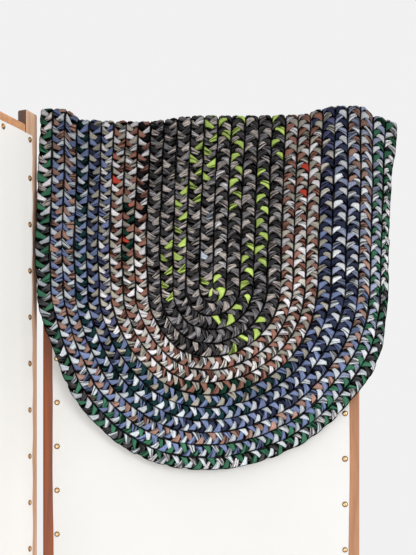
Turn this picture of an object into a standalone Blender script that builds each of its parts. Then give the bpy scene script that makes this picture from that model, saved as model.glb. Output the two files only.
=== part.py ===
"""An oval braided rag rug, folded over one panel of a two-panel folding screen.

Metres, +Z up. The middle panel stands in the XZ plane and its canvas faces -Y. The side panel turns towards
-Y, so that the two stand by themselves. The rug is one long braid, coiled from a straight seam into an oval
and laced row to row. Its front half hangs before the canvas and its back half behind it.
"""

import math

import bmesh
import bpy
from mathutils import Matrix, Vector

# How far two pieces that touch stay apart, and how near two points are made one
SEAT = 0.0003
WELD = 0.00002

# Screen panels
PANEL_WIDTH = 0.5425
PANEL_HEIGHT = 1.700
POST_WIDTH = 0.034
POST_DEPTH = 0.018
RAIL_HEIGHT = 0.034
RAIL_DEPTH = 0.015
POST_ABOVE_RAIL = 0.0258
FOOT_BELOW_RAIL = 0.100
EDGE_ROUNDING = 0.003
RAIL_TOP = PANEL_HEIGHT - POST_ABOVE_RAIL

# Canvas, tacked to the front of the frame, with a strip of wood showing all round it
CANVAS_THICKNESS = 0.0015
CANVAS_INSET_SIDE = 0.0163
CANVAS_INSET_TOP = 0.0155

# Hinges between the panels, and the side panel's turn from the middle panel's line
PANEL_TURN = math.radians(67.8)
PIN_ACROSS_GAP = 0.0085
PIN_BEHIND_FRONT = 0.004
PIN_RADIUS = 0.0032
LEAF_THICKNESS = 0.0014
HINGE_LENGTH = 0.060
HINGE_HEIGHTS = {"hinge_top": 1.520, "hinge_middle": 0.850, "hinge_bottom": 0.200}

# Rug, laid flat
RUG_WIDTH = 0.606
RUG_LENGTH = 1.212
ROWS = 14
INNER_ROWS = 5
INNER_ROW_WIDTH = 0.0229
OUTER_ROW_WIDTH = (RUG_WIDTH / 2 - INNER_ROWS * INNER_ROW_WIDTH) / (ROWS - INNER_ROWS)
RIDGE = 0.0062
GROOVE = 0.0030
SHOULDER = 0.0044
SHOULDER_AT = 0.86
END_TAPER = 0.110
HALF_STRAIGHT = (RUG_LENGTH - RUG_WIDTH) / 2

# Rug, draped: flat over the top of the frame, then a quarter turn down on each side. Measures are to the
# middle of the rug's thickness.
CLEAR_OF_CANVAS = 0.0040
RUG_CENTRE = 0.0304
STAND_OFF = POST_DEPTH / 2 + CANVAS_THICKNESS + CLEAR_OF_CANVAS + RIDGE
FLAT_TOP = 0.007
FOLD_RADIUS = STAND_OFF - FLAT_TOP
QUARTER_FOLD = FOLD_RADIUS * math.pi / 2
FOLD_REACH = FLAT_TOP + QUARTER_FOLD

# The fold line. Columns: place across the screen, and the rug's underside above the rail.
# It lies on both posts, sags towards the rail between them, and droops past the right post.
FOLD_LINE = (
    (-0.300, 0.0190),
    (-0.273, POST_ABOVE_RAIL + SEAT),
    (-0.237, POST_ABOVE_RAIL + SEAT),
    (-0.203, 0.0060),
    (-0.140, 0.0030),
    (-0.090, 0.0030),
    (0.000, 0.0110),
    (0.100, 0.0100),
    (0.160, 0.0115),
    (0.2365, POST_ABOVE_RAIL + SEAT),
    (0.2717, POST_ABOVE_RAIL + SEAT),
    (0.296, 0.0080),
    (0.340, -0.0040),
)
MEAN_RISE = 0.010
SETTLE_LENGTH = 0.28

# How the two halves hang. Columns: sideways lean halfway down, how far the left edge and the right edge
# stand off, depth of the shallow wave, and where the wave starts.
HANG_LENGTH = 0.66
FRONT_HANG = (-0.0092, 0.0060, 0.0020, 0.0045, 0.4)
BACK_HANG = (-0.0100, 0.0020, 0.0040, 0.0050, 1.9)
WAVE_PITCH = 0.36
EDGE_REACH = 0.15
# How the hanging rug is pulled out of shape: rows moved across by their place in it, and in the front half the
# left side moved across by the length that hangs and stretched downwards near its end.
ROW_SHIFTS = (
    (-0.303, 0.0),
    (-0.282, 0.0040),
    (-0.235, 0.0030),
    (-0.177, 0.0),
    (0.177, 0.0),
    (0.235, 0.0058),
    (0.262, 0.0043),
    (0.282, 0.0009),
    (0.303, -0.0070),
)
ROW_SHIFT_FADE = ((0.0, 0.0), (0.11, 1.0), (0.38, 1.0), (0.47, 0.0))
LEFT_SHIFTS = ((0.20, 0.0), (0.28, 0.0040), (0.35, 0.0095), (0.393, 0.0110), (0.44, 0.0085), (0.56, 0.0))
LEFT_SHIFT_FADE = ((-0.12, 1.0), (-0.03, 0.0))
STRETCHES = ((-0.10, 0.0115), (0.12, 0.0015))
STRETCH_FADE = ((0.0, 0.0), (0.60, 1.0))

# Stations along one turn of the coil, in the straights and round the two ends
FOLD_STEPS = 3
HANG_STATIONS = (0.075, 0.130, 0.190, 0.248)
FRONT_END_STEPS = 14
BACK_END_STEPS = 12
SLOPE_STEP = 0.0005

# Finish of each material: colour, roughness, metallic
FINISHES = {
    "oiled_wood": ((0.42, 0.20, 0.09, 1.0), 0.55, 0.0),
    "cream_canvas": ((0.80, 0.77, 0.70, 1.0), 0.90, 0.0),
    "aged_brass": ((0.55, 0.40, 0.18, 1.0), 0.35, 1.0),
    "braided_cotton": ((0.20, 0.21, 0.25, 1.0), 0.92, 0.0),
}


def clear_scene():
    """Empty the scene of what Blender starts with."""
    for thing in list(bpy.data.objects):
        bpy.data.objects.remove(thing, do_unlink=True)


def make_material(name):
    """A Principled BSDF from the table of finishes."""
    colour, roughness, metallic = FINISHES[name]
    material = bpy.data.materials.new(name)
    material.use_nodes = True
    shader = material.node_tree.nodes["Principled BSDF"]
    shader.inputs["Base Color"].default_value = colour
    shader.inputs["Roughness"].default_value = roughness
    shader.inputs["Metallic"].default_value = metallic
    material.diffuse_color = colour
    return material


def add_object(name, mesh, material, collection, parent):
    """Put a mesh in the scene as one named sub-part."""
    thing = bpy.data.objects.new(name, mesh)
    mesh.materials.append(material)
    collection.objects.link(thing)
    thing.parent = parent
    return thing


def box_mesh(name, low, high):
    """A box between two corners, from a cube primitive."""
    mesh = bpy.data.meshes.new(name)
    shape = bmesh.new()
    bmesh.ops.create_cube(shape, size=1.0)
    middle = (Vector(low) + Vector(high)) / 2
    size = Vector(high) - Vector(low)
    placing = Matrix.Translation(middle) @ Matrix.Diagonal((*size, 1.0))
    bmesh.ops.transform(shape, matrix=placing, verts=shape.verts)
    shape.to_mesh(mesh)
    shape.free()
    return mesh


def add_board(name, low, high, material, collection, parent):
    """A length of wood with softened edges."""
    board = add_object(name, box_mesh(name, low, high), material, collection, parent)
    rounding = board.modifiers.new("softened edges", "BEVEL")
    rounding.width = EDGE_ROUNDING
    rounding.segments = 2
    board.data.shade_smooth()
    return board


def build_panel(prefix, post_names, materials, collection, parent):
    """Frame and canvas of one panel, in the parent's frame.

    The panel runs along the parent's X from 0 to its width, with its front face at Y = -POST_DEPTH / 2.
    """
    wood = materials["oiled_wood"]
    front = -POST_DEPTH / 2
    back = POST_DEPTH / 2
    for post_name, start in zip(post_names, (0.0, PANEL_WIDTH - POST_WIDTH)):
        add_board(prefix + post_name, (start, front, 0.0), (start + POST_WIDTH, back, PANEL_HEIGHT),
                  wood, collection, parent)
    rail_start = POST_WIDTH + SEAT
    rail_end = PANEL_WIDTH - POST_WIDTH - SEAT
    rail_tops = {"rail_top": RAIL_TOP, "rail_bottom": FOOT_BELOW_RAIL + RAIL_HEIGHT}
    for rail_name, top in rail_tops.items():
        add_board(prefix + rail_name, (rail_start, front, top - RAIL_HEIGHT), (rail_end, front + RAIL_DEPTH, top),
                  wood, collection, parent)
    canvas_low = (CANVAS_INSET_SIDE, front - SEAT - CANVAS_THICKNESS, FOOT_BELOW_RAIL + CANVAS_INSET_TOP)
    canvas_high = (PANEL_WIDTH - CANVAS_INSET_SIDE, front - SEAT, RAIL_TOP - CANVAS_INSET_TOP)
    add_object(prefix + "canvas", box_mesh(prefix + "canvas", canvas_low, canvas_high),
               materials["cream_canvas"], collection, parent)


def add_frame(name, location, turn, parent):
    """An empty that carries one panel."""
    frame = bpy.data.objects.new(name, None)
    bpy.context.scene.collection.objects.link(frame)
    frame.location = location
    frame.rotation_euler = (0.0, 0.0, turn)
    frame.parent = parent
    return frame


def pin_place():
    """The hinge pin's axis in plan: beside the middle panel, just behind its front face."""
    return Vector((-PANEL_WIDTH / 2 - PIN_ACROSS_GAP, -POST_DEPTH / 2 + PIN_BEHIND_FRONT, 0.0))


def leaf_boxes(height, side):
    """Low and high corners of a hinge leaf and its web, seen from the pin, on the side +1 or -1."""
    low_z = height - HINGE_LENGTH / 2
    high_z = height + HINGE_LENGTH / 2
    face = PIN_ACROSS_GAP - SEAT
    front = -PIN_BEHIND_FRONT + EDGE_ROUNDING
    back = POST_DEPTH - PIN_BEHIND_FRONT - EDGE_ROUNDING
    leaf = ((face - LEAF_THICKNESS, front, low_z), (face, back, high_z))
    web = ((0.0, -LEAF_THICKNESS / 2, low_z), (face - LEAF_THICKNESS / 2, LEAF_THICKNESS / 2, high_z))
    return [((min(low[0] * side, high[0] * side), low[1], low[2]),
             (max(low[0] * side, high[0] * side), high[1], high[2])) for low, high in (leaf, web)]


def add_hinge(name, height, material, collection, tools, parent):
    """A butt hinge: a pin with a leaf on the edge of each panel's post, joined into one solid."""
    mesh = bpy.data.meshes.new(name)
    shape = bmesh.new()
    bmesh.ops.create_cone(shape, cap_ends=True, segments=16, radius1=PIN_RADIUS, radius2=PIN_RADIUS,
                          depth=HINGE_LENGTH, matrix=Matrix.Translation((0.0, 0.0, height)))
    shape.to_mesh(mesh)
    shape.free()
    hinge = add_object(name, mesh, material, collection, parent)
    hinge.location = pin_place()
    for side, turn in ((1, 0.0), (-1, PANEL_TURN)):
        for number, (low, high) in enumerate(leaf_boxes(height, side)):
            label = f"{name}_leaf_{side}_{number}"
            leaf = bpy.data.objects.new(label, box_mesh(label, low, high))
            tools.objects.link(leaf)
            leaf.hide_render = True
            leaf.display_type = "WIRE"
            leaf.parent = parent
            leaf.location = pin_place()
            leaf.rotation_euler = (0.0, 0.0, turn)
            joining = hinge.modifiers.new(label, "BOOLEAN")
            joining.operation = "UNION"
            joining.object = leaf
    return hinge


def smooth_step(part):
    """Ease from 0 to 1."""
    part = min(max(part, 0.0), 1.0)
    return part * part * (3.0 - 2.0 * part)


def between(pairs, place):
    """The value at a place, eased from each pair of place and value to the next."""
    value = pairs[0][1]
    for (start, low), (end, high) in zip(pairs, pairs[1:]):
        value += (high - low) * smooth_step((place - start) / (end - start))
    return value


def drape_middle(across, along):
    """Where a point of the flat rug's middle layer lies once it is draped.

    across runs from the start seam to the right, and along from the fold line towards the front end.
    """
    front = along >= 0.0
    lean, left_off, right_off, wave, phase = FRONT_HANG if front else BACK_HANG
    side = -1.0 if front else 1.0
    reach = abs(along)
    down = max(reach - FOLD_REACH, 0.0)
    angle = min(max(reach - FLAT_TOP, 0.0), QUARTER_FOLD) / FOLD_RADIUS
    loose = smooth_step(down / HANG_STATIONS[-1])
    x = RUG_CENTRE + across + lean * math.sin(math.pi * down / HANG_LENGTH)
    ripple = wave * (0.5 + 0.5 * math.sin(2.0 * math.pi * across / WAVE_PITCH + phase + 2.0 * down))
    to_edge = smooth_step((abs(across) - RUG_WIDTH / 2 + EDGE_REACH) / EDGE_REACH)
    edge = to_edge * (left_off if across < 0.0 else right_off)
    out = min(reach, FLAT_TOP) + FOLD_RADIUS * math.sin(angle) + loose * (ripple + edge)
    rise = between(FOLD_LINE, RUG_CENTRE + across)
    settled = MEAN_RISE + (rise - MEAN_RISE) * math.exp(-down / SETTLE_LENGTH)
    z = RAIL_TOP + RIDGE - FOLD_RADIUS + settled + FOLD_RADIUS * math.cos(angle) - down
    x += between(ROW_SHIFTS, across) * between(ROW_SHIFT_FADE, down)
    if front:
        x += between(LEFT_SHIFTS, down) * between(LEFT_SHIFT_FADE, across)
        z -= between(STRETCHES, across) * between(STRETCH_FADE, down)
    return Vector((x, side * out, z))


def drape(across, along, height):
    """A draped point, height above the middle layer on the face that ends up outside."""
    middle = drape_middle(across, along)
    sideways = drape_middle(across + SLOPE_STEP, along) - drape_middle(across - SLOPE_STEP, along)
    downwards = drape_middle(across, along + SLOPE_STEP) - drape_middle(across, along - SLOPE_STEP)
    outwards = downwards.cross(sideways).normalized()
    return middle + outwards * height


def turn_stations():
    """The stations of one turn of the coil: (part, measure) down the left, round the front, back and round."""
    folded = [FLAT_TOP + QUARTER_FOLD * step / FOLD_STEPS for step in range(FOLD_STEPS + 1)]
    one_way = [0.0] + folded + list(HANG_STATIONS) + [HALF_STRAIGHT]
    straight = [-place for place in reversed(one_way[1:])] + one_way
    front_end = [math.pi * step / FRONT_END_STEPS for step in range(1, FRONT_END_STEPS)]
    back_end = [math.pi * step / BACK_END_STEPS for step in range(1, BACK_END_STEPS)]
    return ([("left", place) for place in straight] + [("front", angle) for angle in front_end]
            + [("right", place) for place in reversed(straight)] + [("back", angle) for angle in back_end])


def row_edge(turn):
    """How far a turn's inner edge is from the start seam. The braid was plaited fatter for its first turns."""
    inner = min(turn, INNER_ROWS)
    return inner * INNER_ROW_WIDTH + (turn - inner) * OUTER_ROW_WIDTH


def flat_point(station, offset, next_offset):
    """Place on the flat rug, at a distance from the start seam and the same line's distance a turn later.

    The front end's arcs are centred on the seam. The back end's are centred to the left of it, which leads
    each row to the next one out, so that the coil is one unbroken braid.
    """
    part, measure = station
    if part == "left":
        return -offset, measure
    if part == "right":
        return offset, measure
    if part == "front":
        return -offset * math.cos(measure), HALF_STRAIGHT + offset * math.sin(measure)
    radius = (offset + next_offset) / 2
    centre = (offset - next_offset) / 2
    return centre + radius * math.cos(measure), -HALF_STRAIGHT - radius * math.sin(measure)


def build_rug_face(shape, stations, last, side):
    """One face of the rug, as ridges that follow the coil. side is +1 outside and -1 inside."""
    count = len(stations)

    def fullness(index):
        """1, but the last row narrows to nothing along the back half's right side."""
        part, measure = stations[index % count]
        if index // count < ROWS - 1 or part != "right":
            return 1.0
        return smooth_step((measure + HALF_STRAIGHT) / END_TAPER)

    def row_place(turn, share):
        return row_edge(turn) + share * (row_edge(turn + 1) - row_edge(turn))

    def vertex(index, share, height):
        turn, step = divmod(index, count)
        offset = row_place(turn, share * fullness(index))
        across, along = flat_point(stations[step], offset, row_place(turn + 1, share))
        return shape.verts.new(drape(across, along, side * height))

    def narrowed(index, height):
        """A crest's height, brought down to the groove's where the last row runs out."""
        return GROOVE + (height - GROOVE) * fullness(index)

    grooves = [vertex(index, 0.0, GROOVE) for index in range(last + 1)]
    ridges = [vertex(index, 0.5, narrowed(index, RIDGE)) for index in range(last + 1)]
    outer_from = last - count
    outside = range(outer_from + 1, last + 1)
    shoulders = {index: vertex(index, SHOULDER_AT, narrowed(index, SHOULDER)) for index in outside}
    shoulders[outer_from] = grooves[last]
    rims = {index: vertex(index, 1.0, 0.0) for index in range(outer_from, last + 1)}

    def add_face(*corners):
        shape.faces.new(corners if side > 0 else tuple(reversed(corners)))

    for index in range(last):
        add_face(grooves[index], grooves[index + 1], ridges[index + 1], ridges[index])
        if index + count < last:
            add_face(ridges[index], ridges[index + 1], grooves[index + 1 + count], grooves[index + count])
    for index in range(outer_from, last):
        add_face(ridges[index], ridges[index + 1], shoulders[index + 1], shoulders[index])
        add_face(shoulders[index], shoulders[index + 1], rims[index + 1], rims[index])


def build_rug(material, collection, parent):
    """The draped rug, as one closed solid. The coil's start is left open by its rows and filled last."""
    stations = turn_stations()
    right_stations = [step for step, (part, _) in enumerate(stations) if part == "right"]
    last = (ROWS - 1) * len(stations) + max(right_stations)
    shape = bmesh.new()
    for side in (1, -1):
        build_rug_face(shape, stations, last, side)
    bmesh.ops.remove_doubles(shape, verts=shape.verts, dist=WELD)
    start = [edge for edge in shape.edges if edge.is_boundary]
    bmesh.ops.holes_fill(shape, edges=start, sides=0)
    bmesh.ops.dissolve_degenerate(shape, dist=WELD, edges=shape.edges)
    bmesh.ops.recalc_face_normals(shape, faces=shape.faces)
    bmesh.ops.triangulate(shape, faces=shape.faces)
    mesh = bpy.data.meshes.new("rug")
    shape.to_mesh(mesh)
    shape.free()
    mesh.shade_smooth()
    return add_object("rug", mesh, material, collection, parent)


def rest_on_origin(root):
    """Move everything so that the origin is under the middle of the whole, on the floor."""
    bpy.context.view_layer.update()
    graph = bpy.context.evaluated_depsgraph_get()
    lows = [math.inf] * 3
    highs = [-math.inf] * 3
    for thing in bpy.data.objects:
        if thing.type != "MESH" or thing.hide_render:
            continue
        solid = thing.evaluated_get(graph)
        for vertex in solid.data.vertices:
            place = solid.matrix_world @ vertex.co
            for axis in range(3):
                lows[axis] = min(lows[axis], place[axis])
                highs[axis] = max(highs[axis], place[axis])
    root.location = (-(lows[0] + highs[0]) / 2, -(lows[1] + highs[1]) / 2, -lows[2])
    print("size:", [round(high - low, 4) for low, high in zip(lows, highs)])
    print("origin moved by:", [round(value, 4) for value in root.location])


def main():
    clear_scene()
    collection = bpy.data.collections.new("rag_rug_on_screen")
    tools = bpy.data.collections.new("tools")
    for group in (collection, tools):
        bpy.context.scene.collection.children.link(group)
    materials = {name: make_material(name) for name in FINISHES}
    root = add_frame("rug_and_screen", (0.0, 0.0, 0.0), 0.0, None)
    middle = add_frame("middle_panel", (-PANEL_WIDTH / 2, 0.0, 0.0), 0.0, root)
    build_panel("mid_", ("post_left", "post_right"), materials, collection, middle)
    turn = Matrix.Rotation(PANEL_TURN, 4, "Z")
    from_pin = Vector((-PIN_ACROSS_GAP - PANEL_WIDTH, POST_DEPTH / 2 - PIN_BEHIND_FRONT, 0.0))
    side_panel = add_frame("side_panel", pin_place() + turn @ from_pin, PANEL_TURN, root)
    build_panel("side_", ("post_outer", "post_inner"), materials, collection, side_panel)
    for name, height in HINGE_HEIGHTS.items():
        add_hinge(name, height, materials["aged_brass"], collection, tools, root)
    build_rug(materials["braided_cotton"], collection, root)
    rest_on_origin(root)


main()
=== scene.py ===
# %% [markdown]
# # A braided rag rug on a folding screen
# The rug is one long plait of fabric strips, coiled into an oval and laced row to row. It hangs over the top
# of a folding screen made of two wooden frames with canvas tacked to them. The CAD model fixes every place
# and size, and this lesson gives each surface its real shape and finish around it.

# %% Load the frame
import math

import bmesh
import bpy
import numpy as np
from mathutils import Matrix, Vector


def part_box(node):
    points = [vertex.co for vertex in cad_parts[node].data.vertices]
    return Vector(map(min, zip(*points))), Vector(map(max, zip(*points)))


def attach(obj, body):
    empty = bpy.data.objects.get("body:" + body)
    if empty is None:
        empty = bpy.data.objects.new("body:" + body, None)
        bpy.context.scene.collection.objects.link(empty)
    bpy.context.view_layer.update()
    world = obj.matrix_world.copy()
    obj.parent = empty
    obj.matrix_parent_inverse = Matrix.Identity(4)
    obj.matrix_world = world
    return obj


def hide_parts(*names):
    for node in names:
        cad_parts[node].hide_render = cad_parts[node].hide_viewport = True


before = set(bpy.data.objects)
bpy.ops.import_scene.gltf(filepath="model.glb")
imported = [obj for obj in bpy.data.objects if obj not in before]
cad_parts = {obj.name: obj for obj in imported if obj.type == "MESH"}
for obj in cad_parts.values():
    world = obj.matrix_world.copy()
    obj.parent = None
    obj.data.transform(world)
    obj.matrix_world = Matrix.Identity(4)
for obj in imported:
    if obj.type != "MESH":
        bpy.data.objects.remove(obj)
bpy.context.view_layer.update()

# %% [markdown]
# ## Where the panels stand
# Every later step hangs on a few places of the CAD model: the middle of the front panel, its canvas, and the
# line of the side panel, which is turned about its hinges. They are read from the boxes of the nodes, so that
# nothing is placed by eye.

# %% Places of the panels
POST_WIDTH = 0.034
POST_DEPTH = 0.018
PANEL_WIDTH = 0.5425
PANEL_TURN = math.radians(67.8)

left_low, left_high = (Vector(corner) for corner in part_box("mid_post_left"))
right_high = Vector(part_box("mid_post_right")[1])
rail_high = Vector(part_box("mid_rail_top")[1])
canvas_low, canvas_high = (Vector(corner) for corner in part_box("mid_canvas"))
PANEL_MIDDLE = Vector(((left_low.x + right_high.x) / 2, (left_low.y + left_high.y) / 2, 0.0))
RAIL_TOP = rail_high.z
print("panel middle:", PANEL_MIDDLE, "rail top:", RAIL_TOP)

# %% [markdown]
# ## Camera
# The photograph was taken from about the height of the rug's lower end, a little to the right of its middle
# and 1.7 m away. The lens is level, which keeps the posts upright, and a shift of the lens brings the top of
# the screen into the frame. The distance comes from the spacing of the tacks in the picture, and the small
# turn from the way that spacing grows towards the right.

# %% Camera
LENS = 64.5
SENSOR_WIDTH = 36.0
CAMERA_DISTANCE = 1.70
CAMERA_BELOW_RAIL = 0.544
CAMERA_YAW = math.radians(1.5)
CAMERA_SHIFT_Y = 0.306
AIM_RIGHT_OF_MIDDLE = 0.01285

aim = Vector((PANEL_MIDDLE.x + AIM_RIGHT_OF_MIDDLE, canvas_low.y, RAIL_TOP - CAMERA_BELOW_RAIL))
camera_data = bpy.data.cameras.new("camera")
camera_data.lens = LENS
camera_data.sensor_width = SENSOR_WIDTH
camera_data.shift_y = CAMERA_SHIFT_Y
camera = bpy.data.objects.new("camera", camera_data)
camera.location = aim + CAMERA_DISTANCE * Vector((math.sin(CAMERA_YAW), -math.cos(CAMERA_YAW), 0.0))
camera.rotation_euler = (math.pi / 2, 0.0, CAMERA_YAW)
bpy.context.scene.collection.objects.link(camera)
bpy.context.scene.camera = camera
print("camera at", camera.location)

# %% [markdown]
# ## Building node trees in Python
# Shader trees and geometry trees are both networks of nodes. Written link by link they are long and hard to
# read, so one small class wraps an output socket and lets ordinary arithmetic add the Math nodes, and another
# adds any node from its type, its settings and what goes into it.

# %% Arithmetic on sockets
class Wire:
    """An output socket that can be used in arithmetic."""

    def __init__(self, graph, socket):
        self.graph = graph
        self.socket = socket

    def math(self, operation, *values):
        return self.graph.add("ShaderNodeMath", {"operation": operation}, dict(enumerate(values)))

    def __add__(self, other):
        return self.math("ADD", self, other)

    def __radd__(self, other):
        return self.math("ADD", other, self)

    def __sub__(self, other):
        return self.math("SUBTRACT", self, other)

    def __rsub__(self, other):
        return self.math("SUBTRACT", other, self)

    def __mul__(self, other):
        return self.math("MULTIPLY", self, other)

    def __rmul__(self, other):
        return self.math("MULTIPLY", other, self)

    def __truediv__(self, other):
        return self.math("DIVIDE", self, other)

    def __pow__(self, other):
        return self.math("POWER", self, other)

    def sin(self):
        return self.math("SINE", self)

    def cos(self):
        return self.math("COSINE", self)

    def absolute(self):
        return self.math("ABSOLUTE", self)

    def smooth(self, low, high, start=0.0, end=1.0):
        """Ease from start to end as the value goes from low to high."""
        return self.graph.add("ShaderNodeMapRange", {"interpolation_type": "SMOOTHSTEP"},
                              {"Value": self, "From Min": low, "From Max": high,
                               "To Min": start, "To Max": end})


# %% Adding any node
class Graph:
    """Adds nodes to one tree."""

    def __init__(self, tree):
        self.tree = tree

    def add(self, kind, settings=None, inputs=None, output=0):
        """A node of this kind with its settings made first, then its inputs by name or number."""
        node = self.tree.nodes.new(kind)
        for name, value in (settings or {}).items():
            setattr(node, name, value)
        for name, value in (inputs or {}).items():
            self.feed(node, name, value)
        return self.wire(node, output)

    def wire(self, node, output=0):
        """One output of a node, by number or by the name of one that is in use."""
        if isinstance(output, int):
            return Wire(self, node.outputs[output])
        return Wire(self, next(socket for socket in node.outputs if socket.name == output and socket.enabled))

    def feed(self, node, name, value):
        """Link or set one input. Several links may share a joining input."""
        if isinstance(name, int):
            socket = node.inputs[name]
        else:
            socket = next(item for item in node.inputs if item.name == name and item.enabled)
        for part in value if isinstance(value, list) else [value]:
            if isinstance(part, Wire):
                self.tree.links.new(part.socket, socket)
            else:
                socket.default_value = part

    def mix(self, factor, first, second, blend="MIX"):
        """Two colours mixed. A colour is three numbers or a wire."""
        first, second = ((*tone, 1.0) if isinstance(tone, tuple) else tone for tone in (first, second))
        return self.add("ShaderNodeMix", {"data_type": "RGBA", "blend_type": blend},
                        {"Factor": factor, "A": first, "B": second}, "Result")

    def noise(self, place, scale, detail=2.0, roughness=0.5):
        """Noise at a place, from 0 to 1."""
        return self.add("ShaderNodeTexNoise", None,
                        {"Vector": place, "Scale": scale, "Detail": detail, "Roughness": roughness}, "Fac")

    def kept(self, name, output="Fac"):
        """What each vertex keeps under this name."""
        return self.add("ShaderNodeAttribute", {"attribute_name": name}, None, output)


# %% Making a material
def make_material(name, roughness, metallic=0.0, **constants):
    """A Principled material with its constant values. Returns the material, its graph and its shader."""
    material = bpy.data.materials.new(name)
    material.use_nodes = True
    shader = material.node_tree.nodes["Principled BSDF"]
    shader.inputs["Roughness"].default_value = roughness
    shader.inputs["Metallic"].default_value = metallic
    for socket_name, value in constants.items():
        shader.inputs[socket_name.replace("_", " ")].default_value = value
    return material, Graph(material.node_tree), shader


def add_bump(graph, shader, height, distance):
    """Raise the surface by a height from 0 to 1, as a share of distance in metres."""
    bump = graph.add("ShaderNodeBump", None,
                     {"Strength": 1.0, "Distance": distance, "Height": height}, "Normal")
    graph.feed(shader, "Normal", bump)


def object_place(graph, scale=(1.0, 1.0, 1.0), turn=0.0):
    """Object coordinates, turned about Z and scaled."""
    place = graph.add("ShaderNodeTexCoord", None, None, "Object")
    return graph.add("ShaderNodeMapping", None,
                     {"Vector": place, "Rotation": (0.0, 0.0, turn), "Scale": scale})


def link_object(name, mesh, material=None):
    """Put a mesh in the scene at the origin."""
    piece = bpy.data.objects.new(name, mesh)
    if material:
        mesh.materials.append(material)
    bpy.context.scene.collection.objects.link(piece)
    return piece


# %% [markdown]
# ## How the rug hangs
# Flat, the rug is an oval 1212 by 606 mm. It goes over the top of the panel in a fold and hangs down on both
# sides. It could be draped by cloth simulation, but a plait this thick bends in one direction only, and the
# CAD solid already has its draped shape. So the same named sizes are used here as a rule that carries any
# point of the flat rug to its place on the screen, and the plait can be made flat and then hung.

# %% Sizes of the rug
RUG_WIDTH = 0.606
RUG_LENGTH = 1.212
ROWS = 14
INNER_ROWS = 5
INNER_ROW_WIDTH = 0.0229
OUTER_ROW_WIDTH = (RUG_WIDTH / 2 - INNER_ROWS * INNER_ROW_WIDTH) / (ROWS - INNER_ROWS)
HALF_STRAIGHT = (RUG_LENGTH - RUG_WIDTH) / 2
END_TAPER = 0.110
HALF_THICKNESS = 0.0062
print(f"rows: {INNER_ROWS} of {INNER_ROW_WIDTH:.4f} m and {ROWS - INNER_ROWS} of {OUTER_ROW_WIDTH:.4f} m")

# %% Sizes of the fold
POST_ABOVE_RAIL = 0.0258
SEAT = 0.0003
CANVAS_THICKNESS = 0.0015
CLEAR_OF_CANVAS = 0.0040
RUG_CENTRE = 0.0304
STAND_OFF = POST_DEPTH / 2 + CANVAS_THICKNESS + CLEAR_OF_CANVAS + HALF_THICKNESS
FLAT_TOP = 0.007
FOLD_RADIUS = STAND_OFF - FLAT_TOP
QUARTER_FOLD = FOLD_RADIUS * math.pi / 2
FOLD_REACH = FLAT_TOP + QUARTER_FOLD
# The underside of the fold: how far right of the panel's middle, and how high above the rail. It rises over
# the two posts and sags between them.
FOLD_LINE = (
    (-0.300, 0.0190),
    (-0.273, POST_ABOVE_RAIL + SEAT),
    (-0.237, POST_ABOVE_RAIL + SEAT),
    (-0.203, 0.0060),
    (-0.140, 0.0030),
    (-0.090, 0.0030),
    (0.000, 0.0110),
    (0.100, 0.0100),
    (0.160, 0.0115),
    (0.2365, POST_ABOVE_RAIL + SEAT),
    (0.2717, POST_ABOVE_RAIL + SEAT),
    (0.296, 0.0080),
    (0.340, -0.0040),
)
# Lower down, the rows lose the ups and downs of the fold and hang as from its mean height
MEAN_RISE = 0.010
SETTLE_LENGTH = 0.28
print(f"fold: {FOLD_RADIUS * 1000:.1f} mm radius, {STAND_OFF * 1000:.1f} mm out from the panel's middle")

# %% Sizes of the hanging halves
HANG_LENGTH = 0.66
# The front and the back half: how far it leans to the side halfway down, how far its left and its right edge
# stand off the panel, and the height and phase of the shallow waves across it
FRONT_HANG = (-0.0092, 0.0060, 0.0020, 0.0045, 0.4)
BACK_HANG = (-0.0100, 0.0020, 0.0040, 0.0050, 1.9)
WAVE_PITCH = 0.36
WAVE_DRIFT = 2.0
EDGE_REACH = 0.15
# How the hanging rug is pulled out of shape: rows moved across by their place in it, and in the front half
# the left side moved across by the length that hangs and stretched downwards near its end.
ROW_SHIFTS = (
    (-0.303, 0.0),
    (-0.282, 0.0040),
    (-0.235, 0.0030),
    (-0.177, 0.0),
    (0.177, 0.0),
    (0.235, 0.0058),
    (0.262, 0.0043),
    (0.282, 0.0009),
    (0.303, -0.0070),
)
ROW_SHIFT_FADE = ((0.0, 0.0), (0.11, 1.0), (0.38, 1.0), (0.47, 0.0))
LEFT_SHIFTS = ((0.20, 0.0), (0.28, 0.0040), (0.35, 0.0095), (0.393, 0.0110), (0.44, 0.0085), (0.56, 0.0))
LEFT_SHIFT_FADE = ((-0.12, 1.0), (-0.03, 0.0))
STRETCHES = ((-0.10, 0.0115), (0.12, 0.0015))
STRETCH_FADE = ((0.0, 0.0), (0.60, 1.0))
LOOSE_LENGTH = 0.248
SLOPE_STEP = 0.0005
print(f"rows shifted by up to {max(abs(shift) for _, shift in ROW_SHIFTS) * 1000:.0f} mm")


# %% The drape as a rule
def smooth_step(part):
    """Ease from 0 to 1."""
    part = np.clip(part, 0.0, 1.0)
    return part * part * (3.0 - 2.0 * part)


def between(pairs, places):
    """The values at some places, eased from each pair of place and value to the next."""
    values = np.full_like(places, pairs[0][1])
    for (start, low), (end, high) in zip(pairs, pairs[1:]):
        values += (high - low) * smooth_step((places - start) / (end - start))
    return values


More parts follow.
